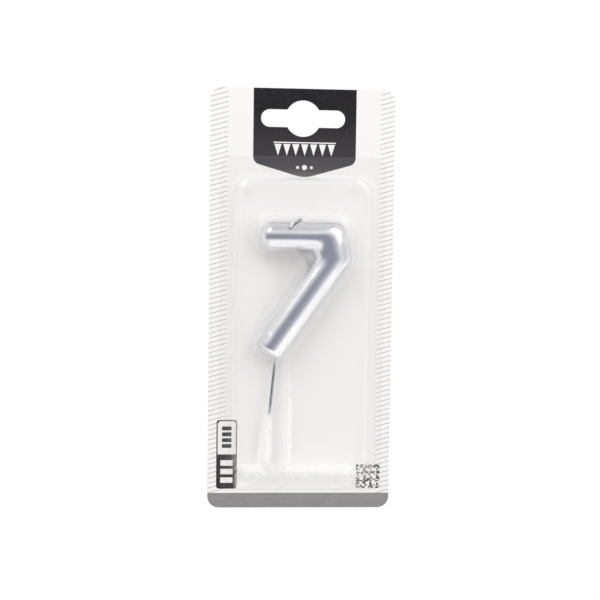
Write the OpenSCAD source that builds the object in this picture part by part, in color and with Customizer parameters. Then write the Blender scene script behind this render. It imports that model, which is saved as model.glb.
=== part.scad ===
// Number seven birthday candle in its retail pack: a hang card, a clear blister and the candle.
//
// Frame: +X to the right and +Z up on the card, front towards -Y. The origin is the centre of
// the hang slot, on the card's back face. Depths are measured forward from that back face.

/* [Card] */
// Width of the card
card_w = 80; // [78:1:90]
// Height of the card
card_h = 183; // [180:1:200]
// Thickness of the board
card_t = 0.6; // [0.4:0.1:0.6]
// Radius of the card's corners
card_r = 5; // [2:0.5:8]
// Distance from the card's top edge to the middle of the hang slot
slot_drop = 12.8; // [11:0.1:14]

/* [Hang slot] */
// Length of the slot, end to end
slot_w = 36.4; // [30:0.2:38]
// Height of the slot's two arms
slot_h = 7.6; // [5:0.1:8]
// Diameter of the round middle
slot_mid_d = 15.6; // [12:0.1:17]

/* [Printing] */
// Thickness of one layer of ink
ink_t = 0.05; // [0.02:0.01:0.05]
// How far the printing sits to the right of the card's middle
print_x = 0.8; // [0:0.1:1]
// Width of the dark panel at the top
panel_w = 44.5; // [42:0.5:50]
// Height of the panel's straight sides, from the card's top edge
panel_h = 32; // [31:0.5:34]
// Slope of the panel's lower edges, in degrees
panel_slope = 16; // [8:1:20]
// Radius of the panel's two lower corners
panel_r = 3.5; // [2:0.5:5]
// Radius of the panel's blunt point
panel_tip_r = 12; // [6:1:16]
// Distance between the two striped bands
hatch_gap = 66; // [65:0.5:67]
// Height of the band along the bottom
footer_h = 6.5; // [5:0.5:8]
// Width of the tag at the lower left
tag_w = 9; // [8:0.5:10]
// Height of the tag
tag_h = 30.4; // [26:0.2:32]
// Line width of the tag's outline
tag_line = 0.5; // [0.4:0.1:0.8]
// Side of the square code
code_w = 10.5; // [9:0.5:11]
// Cells along one side of the code
code_cells = 7; // [5:2:9]

/* [Blister] */
// Thickness of the clear film
film_t = 0.35; // [0.3:0.05:0.4]
// Width of the flange
flange_w = 72; // [71:0.5:73]
// Height of the flange
flange_h = 146; // [145:0.5:147]
// Distance from the slot's middle down to the flange
flange_drop = 16.3; // [16:0.1:17]
// Radius of the flange's corners
flange_r = 4.5; // [3:0.5:6]
// Width of the raised tray at its foot
tray_w = 60; // [59:0.5:61]
// Height of the raised tray at its foot
tray_h = 132.4; // [132:0.1:133]
// Distance from the flange's top edge to the tray
tray_drop = 9; // [8.5:0.1:9.5]
// Depth of the tray in front of the card's back
tray_y = 7; // [6.8:0.1:7.2]
// How far the tray's walls lean in on the way to its front
tray_draft = 3.1; // [2:0.1:3.2]
// Depth of the bubble in front of the card's back
bubble_y = 14.3; // [14.2:0.1:15]
// Room between the number and the foot of the bubble
bubble_room = 2.4; // [2.3:0.1:2.6]
// Extra room above the number, for the folded wick
wick_room = 1.3; // [1.2:0.1:1.5]
// Radius of the bubble's front edge
bubble_r = 2.4; // [2:0.1:2.6]
// Depth of the arched channel over the pick
channel_y = 10.8; // [10.6:0.1:11.5]

/* [Number] */
// Thickness of the number, back to front
wax_t = 11; // [10:0.1:11]
// Depth of the number's middle plane
wax_y = 6.5; // [6.5:0.1:6.6]
// Left end of the number
seven_x = -18.7; // [-19:0.1:-18.5]
// Top of the number
seven_z = -44.2; // [-44.6:0.1:-43.8]
// Height of the top bar
bar_h = 13.1; // [12:0.1:14]
// Length of the top bar, to its upper right corner
bar_l = 36.8; // [36:0.1:38]
// Length of the bar's lower edge, to the inner corner
notch_l = 26; // [25:0.1:27]
// Width of the slanted stroke
stroke_w = 13.7; // [12.5:0.1:14.5]
// Length of the stroke from the inner corner
stroke_l = 49.2; // [46:0.1:50]
// Length of the stroke's outer edge
stroke_outer_l = 54.7; // [52:0.1:56]
// Slant of the stroke from upright, in degrees
stroke_a = 35; // [33:0.5:37]

/* [Wick] */
// Diameter of the wick
wick_d = 1.7; // [1.2:0.1:1.8]
// Place of the wick along the bar
wick_x = -0.7; // [-2:0.1:2]
// How deep the wick runs into the number
wick_deep = 9; // [6:0.5:9]
// Height of the wick's fold above the number
fold_h = 1.5; // [1.5:0.1:1.6]
// Direction of the fold, in degrees to the left of straight forward
fold_turn = 39; // [34:1:42]
// Radius that the folded wick follows over the number
fold_r = 9.9; // [9.5:0.1:10.5]
// Angle of the folded wick's arc
fold_arc = 54; // [46:1:54]

/* [Pick] */
// Diameter of the pick
pick_d = 1.7; // [1.5:0.1:1.8]
// Length of the pick
pick_l = 59; // [55:1:60]
// Length of the pick inside the number
pick_in = 15; // [12:1:16]
// Diameter of the pick's slimmer end, which the wax grips
pick_neck_d = 1.3; // [1.1:0.1:1.3]
// Length of the pick's conical point
pick_point = 6; // [4:1:8]
// Lean of the pick from upright, foot to the left, in degrees
pick_a = 5.6; // [5:0.1:6]

/* [Hidden] */

// Exact circles; facets are used only on the lofted shapes below
$fn = 64;
// Radial room round a rod that sits in the wax
rod_room = 0.02;

// Card edges, and the place of the printing on it
card_top = slot_drop;
card_foot = card_top - card_h;
ink_y = card_t;
top_ink_y = ink_y + ink_t;
hatch_l = print_x - hatch_gap / 2;
hatch_r = print_x + hatch_gap / 2;
footer_top = card_foot + footer_h;
tag_x = -36.2;
tag_z = -161.8;
tag_r = 1.2;
tag_split = 0.5;
// Bars in the tag's two halves, as shares of its width and of half its height
low_bars_w = 0.6;
low_bars_h = 0.75;
high_bars_w = 0.46;
high_bars_h = 0.68;
// Share of each bar's pitch that is filled
bar_share = 0.65;
code_x = 25.4;
code_z = -161.6;
bunting_w = 27;
bunting_z = -10.6;
bunting_line = 0.5;
bunting_gap = 0.4;
bunting_flags = 7;
flag_w = 3.1;
flag_h = 5;
dot_z = -21;
dot_pitch = 3;
dot_r = 1.1;

// Blister: flange, tray, bubble and channel
blister_x = 0.4;
tray_x = blister_x + 0.6;
flange_gap = 0.1;
flange_y = top_ink_y + flange_gap;
flange_l = blister_x - flange_w / 2;
flange_foot = -flange_drop - flange_h;
tray_l = tray_x - tray_w / 2;
tray_top = -flange_drop - tray_drop;
tray_foot = tray_top - tray_h;
tray_r = 6;
// The tray's lower wall leans in this many times as far as the others
tray_foot_lean = 2;
seal_w = 3;
// How far the inside of a hollow reaches behind the flange, so that it opens backwards
behind = 0.4;
notch_web_r = 8;
channel_top = -100;
channel_end = -154;
channel_x = [-10.3, -11.3];
channel_half = [6.2, 7.1];
channel_round = 8;
channel_sink = 2.5;

// Number: corners in the XZ plane, counter-clockwise seen from the front, and their radii
stroke_dir = [-sin(stroke_a), -cos(stroke_a)];
stroke_side = [cos(stroke_a), -sin(stroke_a)];
bar_foot = seven_z - bar_h;
notch_corner = [seven_x + notch_l, bar_foot];
end_left = notch_corner + stroke_dir * stroke_l;
end_right = end_left + stroke_side * stroke_w;
elbow_low = end_right - stroke_dir * stroke_outer_l;
elbow_top = [seven_x + bar_l, seven_z];
bar_left = [[seven_x, seven_z], [seven_x, bar_foot]];
end_r = 3.5;
notch_r = 2.1;
elbow_low_r = 2.6;
elbow_top_r = 5;

// Outline that the bubble follows: the number's corners with its top raised to clear the wick
lift = [0, wick_room];
bubble_corners = [bar_left[0] + lift, bar_left[1], notch_corner, end_left, end_right, elbow_low,
                  elbow_top + lift];
bubble_radii = [bar_h / 2, bar_h / 2, notch_web_r, end_r, end_r, elbow_low_r, elbow_top_r];

// Sections along the number, and points round each section
cap_steps = 6;
bar_steps = 5;
elbow_steps = [7, 5];
stroke_steps = 7;
ring_points = 24;
// The last section before a rounded end closes, in degrees of the quarter turn
cap_end_a = 84;

// Wick and pick
wick_r = wick_d / 2;
fold_z = seven_z + fold_h;
fold_dip = 3;
collar_r = [3.4, 1.2];
collar_z = [-1, 0.4];
pick_r = pick_d / 2;
pick_tip_r = 0.25;
// How far the pick's slimmer end shows below the wax
neck_out = 1.5;
pick_exit = [-11.1, -104.3];

// ---------------------------------------------------------------- points and outlines

function unit(v) = v / norm(v);

// Angle from a to b, between -180 and 180
function turn(a, b) = (b - a + 540) % 360 - 180;

// Points between a and b, without the two ends
function between(a, b, n) = [for (i = [1 : n - 1]) a + (b - a) * i / n];

// Arc of radius r that rounds the corner at b of the path a, b, c, in n steps
function corner(a, b, c, r, n) =
    let (u = unit(a - b),
         v = unit(c - b),
         half = acos(u * v) / 2,
         o = b + unit(u + v) * r / sin(half),
         s = b + u * r / tan(half) - o,
         e = b + v * r / tan(half) - o,
         from = atan2(s[1], s[0]),
         sweep = turn(from, atan2(e[1], e[0])))
    [for (i = [0 : n]) o + r * [cos(from + sweep * i / n), sin(from + sweep * i / n)]];

// Outward normal of the edge from a to b of a counter-clockwise outline
function edge_normal(a, b) = let (d = unit(b - a)) [d[1], -d[0]];

// Corner i of the outline, moved out by m on both of its edges
function moved_corner(pts, i, m) =
    let (k = len(pts),
         before = edge_normal(pts[(i + k - 1) % k], pts[i]),
         after = edge_normal(pts[i], pts[(i + 1) % k]))
    pts[i] + m * (before + after) / (1 + before * after);

// 1 where the outline turns left, -1 where it turns right
function bend(pts, i) =
    let (k = len(pts),
         u = pts[i] - pts[(i + k - 1) % k],
         v = pts[(i + 1) % k] - pts[i])
    sign(u[0] * v[1] - u[1] * v[0]);

// Rounded outline, moved out by m, with n steps round each corner
function rounded(pts, radii, m, n) =
    let (k = len(pts),
         p = [for (i = [0 : k - 1]) moved_corner(pts, i, m)])
    [for (i = [0 : k - 1])
        each corner(p[(i + k - 1) % k], p[i], p[(i + 1) % k], radii[i] + m * bend(pts, i), n)];

// Points of an outline set at a depth
function at_depth(pts, y) = [for (p = pts) [p[0], -y, p[1]]];

// Corners of a rectangle, counter-clockwise from the lower left
function box_corners(x0, z0, x1, z1) = [[x0, z0], [x1, z0], [x1, z1], [x0, z1]];

// ---------------------------------------------------------------- shared shapes

// Closed solid through rings with equal numbers of points
module loft(rings) {
    n = len(rings[0]);
    last = len(rings) - 1;
    points = [for (r = rings) each r];
    first_cap = [for (i = [0 : n - 1]) i];
    last_cap = [for (i = [n - 1 : -1 : 0]) last * n + i];
    sides = [for (k = [0 : last - 1])
        for (i = [0 : n - 1])
            let (j = (i + 1) % n)
            each [[k * n + i, (k + 1) * n + i, (k + 1) * n + j],
                  [k * n + i, (k + 1) * n + j, k * n + j]]];
    polyhedron(points, concat([first_cap, last_cap], sides));
}

// Flat shape in the XZ plane, from depth y forward by t
module sheet(y, t) {
    translate([0, -y, 0])
        rotate([90, 0, 0])
            linear_extrude(t)
                children();
}

// Rectangle with round corners, its lower left corner at the origin
module rounded_plate(w, h, r) {
    translate([r, 0]) square([w - 2 * r, h]);
    translate([0, r]) square([w, h - 2 * r]);
    for (x = [r, w - r], y = [r, h - r])
        translate([x, y]) circle(r);
}

module hang_slot_shape() {
    arm = (slot_w - slot_h) / 2;
    translate([-arm, -slot_h / 2]) square([2 * arm, slot_h]);
    for (x = [-arm, arm])
        translate([x, 0]) circle(slot_h / 2);
    circle(d = slot_mid_d);
}

// Dark panel with a blunt point at its foot
module panel_shape() {
    left = print_x - panel_w / 2;
    right = print_x + panel_w / 2;
    low = card_top - panel_h;
    tip = [print_x, low - tan(panel_slope) * panel_w / 2];
    polygon(concat([[right, card_top], [left, card_top]],
                   corner([left, card_top], [left, low], tip, panel_r, 8),
                   corner([left, low], tip, [right, low], panel_tip_r, 8),
                   corner(tip, [right, low], [right, card_top], panel_r, 8)));
}

module tag_shape() {
    translate([tag_x, tag_z]) rounded_plate(tag_w, tag_h, tag_r);
}

module code_shape() {
    translate([code_x, code_z]) square(code_w);
}

// Striped band on one side of the card, short of its round corners
module hatch_shape(x0, x1) {
    difference() {
        intersection() {
            translate([x0, footer_top]) square([x1 - x0, card_top - footer_top]);
            translate([-card_w / 2, card_foot]) rounded_plate(card_w, card_h, card_r);
        }
        tag_shape();
        code_shape();
    }
}

// ---------------------------------------------------------------- card

module backing_card() {
    color("white")
        sheet(0, card_t)
            difference() {
                translate([-card_w / 2, card_foot]) rounded_plate(card_w, card_h, card_r);
                hang_slot_shape();
            }
}

module header_print() {
    color("#2d2d32")
        sheet(ink_y, ink_t)
            difference() {
                panel_shape();
                hang_slot_shape();
            }
}

// White marks on the dark panel: a string of pennants with three dots under it
module header_ornament() {
    pitch = bunting_w / bunting_flags;
    start = print_x - bunting_w / 2;
    color("white")
        sheet(top_ink_y, ink_t / 2) {
            translate([start, bunting_z]) square([bunting_w, bunting_line]);
            for (i = [0 : bunting_flags - 1])
                translate([start + (i + 0.5) * pitch, bunting_z - bunting_gap])
                    polygon([[-flag_w / 2, 0], [0, -flag_h], [flag_w / 2, 0]]);
            for (i = [-1 : 1])
                translate([print_x + i * dot_pitch, dot_z]) circle(dot_r * (i == 0 ? 1 : 0.6));
        }
}

module footer_print() {
    color("#8f8c8f")
        sheet(ink_y, ink_t)
            intersection() {
                translate([-card_w / 2, card_foot]) square([card_w, footer_h]);
                translate([-card_w / 2, card_foot]) rounded_plate(card_w, card_h, card_r);
            }
}

module hatch_print_left() {
    color("gainsboro")
        sheet(ink_y, ink_t) hatch_shape(-card_w / 2, hatch_l);
}

module hatch_print_right() {
    color("gainsboro")
        sheet(ink_y, ink_t) hatch_shape(hatch_r, card_w / 2);
}

// Row of n plain bars, w wide, that fills height h with its middle at x and its foot at z
module bars(x, z, w, h, n) {
    pitch = h / n;
    for (i = [0 : n - 1])
        translate([x - w / 2, z + (i + (1 - bar_share) / 2) * pitch]) square([w, pitch * bar_share]);
}

// Outlined tag, open above and filled below, with a row of plain bars in each half
module size_tag_print() {
    split_z = tag_z + tag_h * tag_split;
    middle = tag_x + tag_w / 2;
    half = tag_h * tag_split;
    color("#202024")
        sheet(ink_y, ink_t) {
            difference() {
                tag_shape();
                translate([tag_x + tag_line, split_z])
                    square([tag_w - 2 * tag_line, half - tag_r]);
                translate([tag_x + tag_r, split_z])
                    square([tag_w - 2 * tag_r, half - tag_line]);
                bars(middle, tag_z + (1 - low_bars_h) * half / 2, tag_w * low_bars_w,
                     half * low_bars_h, 3);
            }
            bars(middle, split_z + (1 - high_bars_h) * half / 2, tag_w * high_bars_w,
                 half * high_bars_h, 4);
        }
}

// Square lattice of equal cells
module code_print() {
    pitch = code_w / code_cells;
    color("#202024")
        sheet(ink_y, ink_t)
            difference() {
                code_shape();
                for (i = [1 : 2 : code_cells - 2], j = [1 : 2 : code_cells - 2])
                    translate([code_x + i * pitch, code_z + j * pitch]) square(pitch);
            }
}

// Sealing coat under the flange, where the card isn't printed
module heat_seal() {
    color("whitesmoke")
        sheet(ink_y, ink_t)
            difference() {
                translate([flange_l, flange_foot]) rounded_plate(flange_w, flange_h, flange_r);
                translate([tray_l - seal_w / 2, tray_foot - seal_w / 2])
                    rounded_plate(tray_w + seal_w, tray_h + seal_w, tray_r);
                panel_shape();
                translate([-card_w / 2, card_foot]) square([hatch_l + card_w / 2, card_h]);
                translate([hatch_r, card_foot]) square([card_w / 2 - hatch_r, card_h]);
                tag_shape();
                code_shape();
            }
}

// ---------------------------------------------------------------- blister

// Tray outline at lean 0 (foot) to 1 (front), moved in by m
function tray_ring(y, lean, m) =
    let (d = tray_draft * lean + m,
         foot = tray_draft * lean * tray_foot_lean + m)
    at_depth(rounded(box_corners(tray_l + d, tray_foot + foot,
                                 tray_l + tray_w - d, tray_top - d),
                     [for (i = [0 : 3]) tray_r], 0, 6), y);

// The tray, m inside its outer face; back is the depth where it starts
module tray(back, m) {
    front = tray_y - m;
    wall = front - flange_y;
    loft([tray_ring(back, 0, m),
          tray_ring(flange_y + 0.2 * wall, 0.1, m),
          tray_ring(flange_y + 0.7 * wall, 0.4, m),
          tray_ring(flange_y + 0.93 * wall, 0.7, m),
          tray_ring(front, 1, m)]);
}

// The bubble round the number, m inside its outer face
module bubble(back, m) {
    front = bubble_y - m;
    edge = front - bubble_r;
    lean = (edge - back) * 0.1;
    steps = 4;
    loft(concat([at_depth(rounded(bubble_corners, bubble_radii, bubble_room - m, 6), back)],
                [for (i = [0 : steps])
                    let (a = 90 * i / steps,
                         out = bubble_room - m - lean - bubble_r * (1 - cos(a)))
                    at_depth(rounded(bubble_corners, bubble_radii, out, 6),
                             edge + bubble_r * sin(a))]));
}

// Arch over the pick at height z: half is its half width, crown its depth
function arch(z, x, half, back, crown) =
    let (n = 14,
         foot = tray_y - channel_sink)
    concat([[x + half, -back, z]],
           [for (i = [0 : n])
               let (a = 180 * i / n)
               [x + half * cos(a), -foot - (crown - foot) * sin(a), z]],
           [[x - half, -back, z]]);

// The channel over the pick, m inside its outer face
module channel(back, m) {
    round_top = channel_end + channel_round;
    steps = 4;
    straight = [for (s = [0, 0.5, 1])
        arch(channel_top + (round_top - channel_top) * s,
             channel_x[0] + (channel_x[1] - channel_x[0]) * s,
             channel_half[0] + (channel_half[1] - channel_half[0]) * s - m,
             back, channel_y - m)];
    foot = [for (i = [1 : steps])
        let (a = 90 * i / (steps + 0.4))
        arch(round_top - (channel_round - m) * sin(a),
             channel_x[1],
             (channel_half[1] - m) * (0.55 + 0.45 * cos(a)),
             back, tray_y - channel_sink + (channel_y - m - tray_y + channel_sink) * cos(a))];
    loft(concat(straight, foot));
}

// Clear film: flange and raised shapes, hollow behind
module blister_shell() {
    color("lightcyan", 0.4)
        difference() {
            union() {
                sheet(flange_y, film_t)
                    translate([flange_l, flange_foot]) rounded_plate(flange_w, flange_h, flange_r);
                tray(flange_y + film_t / 2, 0);
                bubble(tray_y - 1, 0);
                channel(tray_y - channel_sink, 0);
            }
            tray(flange_y - behind, film_t);
            bubble(tray_y - 1, film_t);
            channel(tray_y - channel_sink - 1, film_t);
        }
}

// ---------------------------------------------------------------- candle

// Section of the number between rail points a and b, with half thickness deep
function section(a, b, deep) =
    let (mid = (a + b) / 2,
         arm = (a - b) / 2)
    [for (i = [0 : ring_points - 1])
        let (t = 360 * i / ring_points,
             p = mid + arm * cos(t))
        [p[0], -wax_y - deep * sin(t), p[1]]];

module wax_body() {
    deep = wax_t / 2;
    cap_r = bar_h / 2;
    bar_start = [[seven_x + cap_r, seven_z], [seven_x + cap_r, bar_foot]];
    outer_elbow = concat(corner(bar_left[0], elbow_top, elbow_low, elbow_top_r, elbow_steps[0]),
                         corner(elbow_top, elbow_low, end_right, elbow_low_r, elbow_steps[1]));
    elbow_n = len(outer_elbow);
    inner_elbow = corner(bar_left[1], notch_corner, end_left, notch_r, elbow_n - 1);
    stroke_end = [end_right - stroke_dir * end_r, end_left - stroke_dir * end_r];
    outer = concat([bar_start[0]], between(bar_start[0], outer_elbow[0], bar_steps),
                   outer_elbow, between(outer_elbow[elbow_n - 1], stroke_end[0], stroke_steps),
                   [stroke_end[0]]);
    inner = concat([bar_start[1]], between(bar_start[1], inner_elbow[0], bar_steps),
                   inner_elbow, between(inner_elbow[elbow_n - 1], stroke_end[1], stroke_steps),
                   [stroke_end[1]]);
    round_cap = [for (i = [cap_steps : -1 : 1])
        let (a = cap_end_a * i / cap_steps,
             x = seven_x + cap_r * (1 - sin(a)),
             z = seven_z - cap_r)
        section([x, z + cap_r * cos(a)], [x, z - cap_r * cos(a)], deep * cos(a))];
    square_cap = [for (i = [1 : cap_steps])
        let (a = cap_end_a * i / cap_steps,
             along = stroke_dir * end_r * sin(a),
             tuck = stroke_side * end_r * (1 - cos(a)))
        section(stroke_end[0] + along - tuck, stroke_end[1] + along + tuck, deep * cos(a))];
    body = [for (i = [0 : len(outer) - 1]) section(outer[i], inner[i], deep)];
    color("silver")
        difference() {
            union() {
                loft(concat(round_cap, body, square_cap));
                translate([wick_x, -wax_y, seven_z + collar_z[0]])
                    cylinder(h = collar_z[1] - collar_z[0], r1 = collar_r[0], r2 = collar_r[1]);
            }
            translate([wick_x, -wax_y, seven_z - wick_deep])
                cylinder(h = wick_deep + fold_h, r = wick_r + rod_room);
            pick_axis()
                translate([0, 0, -pick_in])
                    cylinder(h = pick_in + end_r, r = pick_neck_d / 2 + rod_room);
        }
}

// Straight length of wick in the wax, up to just below the fold
module wick_core() {
    top = fold_h - wick_r - 0.1;
    color("gray")
        translate([wick_x, -wax_y, seven_z - wick_deep])
            cylinder(h = wick_deep + top, r = wick_r);
}

// Loose end of the wick: a round joint at the fold and an arc that dips over the number
module wick_tip() {
    color("darkgray")
        translate([wick_x, -wax_y, fold_z])
            rotate([0, 0, -fold_turn])
                rotate([-fold_dip, 0, 0]) {
                    sphere(wick_r);
                    translate([0, 0, -fold_r])
                        rotate([0, 90, 0])
                            rotate([0, 0, 180])
                                rotate_extrude(angle = fold_arc)
                                    translate([fold_r, 0]) circle(wick_r);
                }
}

// Places its children with +Z down the pick and the origin where it leaves the wax
module pick_axis() {
    translate([pick_exit[0], -wax_y, pick_exit[1]])
        rotate([0, 180 + pick_a, 0])
            children();
}

module pick() {
    shoulder = pick_in + neck_out;
    shaft = pick_l - pick_point;
    color("#5a5e66")
        pick_axis()
            translate([0, 0, -pick_in]) {
                cylinder(h = shoulder, d = pick_neck_d);
                translate([0, 0, shoulder]) cylinder(h = shaft - shoulder, r = pick_r);
                translate([0, 0, shaft]) cylinder(h = pick_point, r1 = pick_r, r2 = pick_tip_r);
            }
}

backing_card();
header_print();
header_ornament();
footer_print();
hatch_print_left();
hatch_print_right();
size_tag_print();
code_print();
heat_seal();
blister_shell();
wax_body();
wick_core();
wick_tip();
pick();
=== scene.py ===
"""Number seven birthday candle in its retail pack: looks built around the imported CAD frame.

The scene is in metres in the CAD frame: +X right and +Z up on the card, front towards -Y, origin at the
middle of the hang slot on the card's back face. Shapes are worked out in millimetres, and mesh_piece
scales them.
"""

import math

import bpy
import numpy as np
from mathutils import Matrix, Vector


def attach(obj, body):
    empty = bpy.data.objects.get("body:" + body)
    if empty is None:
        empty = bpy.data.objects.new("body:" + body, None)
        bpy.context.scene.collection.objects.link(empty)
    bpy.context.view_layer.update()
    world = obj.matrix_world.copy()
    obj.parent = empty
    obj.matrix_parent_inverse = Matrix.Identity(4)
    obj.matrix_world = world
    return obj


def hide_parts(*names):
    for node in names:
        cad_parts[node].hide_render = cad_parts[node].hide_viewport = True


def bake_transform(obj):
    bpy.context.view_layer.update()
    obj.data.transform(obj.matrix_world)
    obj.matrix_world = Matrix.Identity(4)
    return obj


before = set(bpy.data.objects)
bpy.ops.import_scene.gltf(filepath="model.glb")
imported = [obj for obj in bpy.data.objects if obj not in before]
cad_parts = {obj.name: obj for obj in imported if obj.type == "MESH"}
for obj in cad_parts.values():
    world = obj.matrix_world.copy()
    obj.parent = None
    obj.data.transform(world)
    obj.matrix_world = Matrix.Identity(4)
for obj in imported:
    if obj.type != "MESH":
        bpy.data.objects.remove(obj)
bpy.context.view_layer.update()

MM = 0.001

# ---------------------------------------------------------------- dimensions, in millimetres

HATCH_LEAN = math.radians(16)
HATCH_PITCH = 2.13
CODE_W = 10.5
CODE_CELLS = 21

FILM_T = 0.35
FLANGE_X = (-35.6, 36.4)
FLANGE_Z = (-162.3, -16.3)
FLANGE_DEPTH = 1.10
FLANGE_R = 4.5
TRAY_X = (-29.0, 31.0)
TRAY_Z = (-157.7, -25.3)
TRAY_DEPTH = 7.0
TRAY_LEAN = 3.1
TRAY_FOOT_LEAN = 6.2
TRAY_R = 6.0
TRAY_POWER = 2.0
BUBBLE_DEPTH = 14.25
BUBBLE_ROOM = 2.6
BUBBLE_RUN = 4.2
BUBBLE_POWER = 2.1
WICK_ROOM = 1.3
NOTCH_WEB_R = 6.5
CHANNEL_Z = (-154.0, -100.0)
CHANNEL_X = (-11.3, -10.3)
CHANNEL_HALF = (7.1, 6.2)
CHANNEL_DEPTH = 10.8
CHANNEL_ROUND = 8.0
CHANNEL_SINK = 2.5
CHANNEL_POWER = 3.2
# How far above its top the channel still fades out
CHANNEL_FADE = 3
# Share of the tray's wall above which the bubble and the channel may rise from it
RAISED_FROM = 0.4
FILLET = 2.2
FLANGE_FILLET = 1.6
# Radii over which the film's depth is averaged, which rounds its edges
FILM_BLUR = (0.4, 0.85)
BLUR_SAMPLES = 8
# Slopes of the film where the haze starts and is full, and the rounds of easing that spread it; this
# white on the walls is partly haze and partly a painted highlight
HAZE_SLOPES = (0.1, 2.0)
HAZE_SPREAD = 6

WAX_T = 11.0
WAX_Y = 6.5
SEVEN_X = -18.7
SEVEN_Z = -44.2
BAR_H = 13.1
BAR_L = 36.8
NOTCH_L = 26.0
STROKE_W = 13.7
STROKE_L = 49.2
STROKE_OUTER_L = 54.7
STROKE_A = math.radians(35)
END_R = 3.5
NOTCH_R = 2.1
ELBOW_LOW_R = 2.6
ELBOW_TOP_R = 5.0
# Length over which the number's normals are blended, in full within ELBOW_NEAR of the elbow's middle and
# not at all beyond ELBOW_FAR
ELBOW_BLEND = 3.4
ELBOW_NEAR = 12
ELBOW_FAR = 20
SECTION_SIDES = 72
# Sections along the number: each rounded end with its last section's angle, the bar, the stroke, and the
# elbow's upper corner, side and lower corner
CAP_STEPS, CAP_END = 18, math.radians(89.0)
FOOT_STEPS, FOOT_END = 14, math.radians(88.5)
BAR_STEPS = 24
STROKE_STEPS = 44
ELBOW_STEPS = (22, 6, 14)
RAIL_EASING = 14
MOUND_SIDES = 48
# Mound of wax round the wick: height over the bar's top and radius
MOUND = (
    (-1.6, 3.6),
    (-1.0, 3.3),
    (-0.55, 2.75),
    (-0.2, 2.1),
    (0.05, 1.6),
    (0.25, 1.25),
    (0.38, 1.02),
    (0.4, 0.6),
)

WICK_R = 0.85
WICK_X = -0.7
WICK_DEEP = 9.0
WICK_PITCH = 3.6
WICK_SIDES = 42
WICK_STRANDS = 3
# Depth of the grooves between strands as a share of the radius, and the power that narrows them
WICK_GROOVE, GROOVE_POWER = 0.16, 0.7
# Rings over the cut end: share of the last ring's size, and distance beyond it
WICK_END = ((0.9, 0.03), (0.74, 0.0), (0.66, -0.14), (0.35, -0.08))
# Points of the wick's path in the wax, round the fold and along the loose end, and rounds of easing
WICK_STEPS = (14, 12, 60)
WICK_EASING = 3
FOLD_Z = SEVEN_Z + 1.5
FOLD_TURN = math.radians(39)
FOLD_R = 9.9
FOLD_ARC = math.radians(54)
FOLD_DIP = math.radians(3)
FOLD_BEND = 0.85
FOLD_AHEAD = np.array([-math.sin(FOLD_TURN), -math.cos(FOLD_TURN), 0.0])

PICK_R = 0.85
PICK_NECK_R = 0.65
PICK_NECK_OUT = 1.5
PICK_L = 59.0
PICK_IN = 15.0
PICK_POINT = 6.0
PICK_TIP_R = 0.25
PICK_SIDES = 40
# Below this range of z the rod is painted bright: a painted glare
PICK_GLARE_Z = (-128.4, -126.4)
PICK_LEAN = math.radians(5.6)
PICK_EXIT = (-11.1, -WAX_Y, -104.3)

# Corners of the number in the XZ plane, counter-clockwise seen from the front
STROKE_DIR = np.array([-math.sin(STROKE_A), -math.cos(STROKE_A)])
STROKE_SIDE = np.array([math.cos(STROKE_A), -math.sin(STROKE_A)])
BAR_FOOT = SEVEN_Z - BAR_H
NOTCH = np.array([SEVEN_X + NOTCH_L, BAR_FOOT])
END_LEFT = NOTCH + STROKE_DIR * STROKE_L
END_RIGHT = END_LEFT + STROKE_SIDE * STROKE_W
ELBOW_LOW = END_RIGHT - STROKE_DIR * STROKE_OUTER_L
ELBOW_TOP = np.array([SEVEN_X + BAR_L, SEVEN_Z])
BAR_LEFT_TOP = np.array([SEVEN_X, SEVEN_Z])
BAR_LEFT_FOOT = np.array([SEVEN_X, BAR_FOOT])

# ---------------------------------------------------------------- shader node helpers


def node(tree, kind, inputs=None, **props):
    """Adds a node, sets its properties, and gives each named input a value or links a socket to it."""
    made = tree.nodes.new(kind)
    for key, value in props.items():
        setattr(made, key, value)
    for key, value in (inputs or {}).items():
        if isinstance(value, bpy.types.NodeSocket):
            tree.links.new(value, made.inputs[key])
        else:
            made.inputs[key].default_value = value
    return made


def new_material(name):
    """An empty node material: returns it, its tree and its output node."""
    made = bpy.data.materials.new(name)
    made.use_nodes = True
    tree = made.node_tree
    tree.nodes.clear()
    return made, tree, tree.nodes.new("ShaderNodeOutputMaterial")


def coords(tree):
    return node(tree, "ShaderNodeTexCoord").outputs["Object"]


def surface_y(tree):
    """Y part of the surface's own direction: -1 where it faces the front, 1 where it faces the back."""
    return part_of(tree, node(tree, "ShaderNodeTexCoord").outputs["Normal"], "Y")


def stretched(tree, vector, scale):
    return node(tree, "ShaderNodeMapping", {"Vector": vector, "Scale": scale}).outputs["Vector"]


def noise(tree, vector, scale, detail=4.0, rough=0.6):
    """Noise of about 1 / scale metres."""
    inputs = {"Vector": vector, "Scale": scale, "Detail": detail, "Roughness": rough}
    return node(tree, "ShaderNodeTexNoise", inputs).outputs["Fac"]


def cells(tree, vector, scale):
    """Distance to the nearest of points scattered about 1 / scale metres apart."""
    return node(tree, "ShaderNodeTexVoronoi", {"Vector": vector, "Scale": scale}).outputs["Distance"]


def ramp(tree, value, low, high, start, end):
    """Maps value from start..end to low..high, smoothly."""
    made = node(
        tree,
        "ShaderNodeMapRange",
        {"Value": value, "From Min": start, "From Max": end, "To Min": low, "To Max": high},
        interpolation_type="SMOOTHSTEP",
    )
    return made.outputs["Result"]


def math_node(tree, operation, a, b=0.0, c=0.0):
    return node(tree, "ShaderNodeMath", {0: a, 1: b, 2: c}, operation=operation).outputs["Value"]


def blend_colour(tree, factor, a, b):
    """Colour a where factor is 0 and b where it is 1."""
    a, b = [v if isinstance(v, bpy.types.NodeSocket) else (*v, 1.0) for v in (a, b)]
    return node(tree, "ShaderNodeMix", {0: factor, 6: a, 7: b}, data_type="RGBA").outputs[2]


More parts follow.
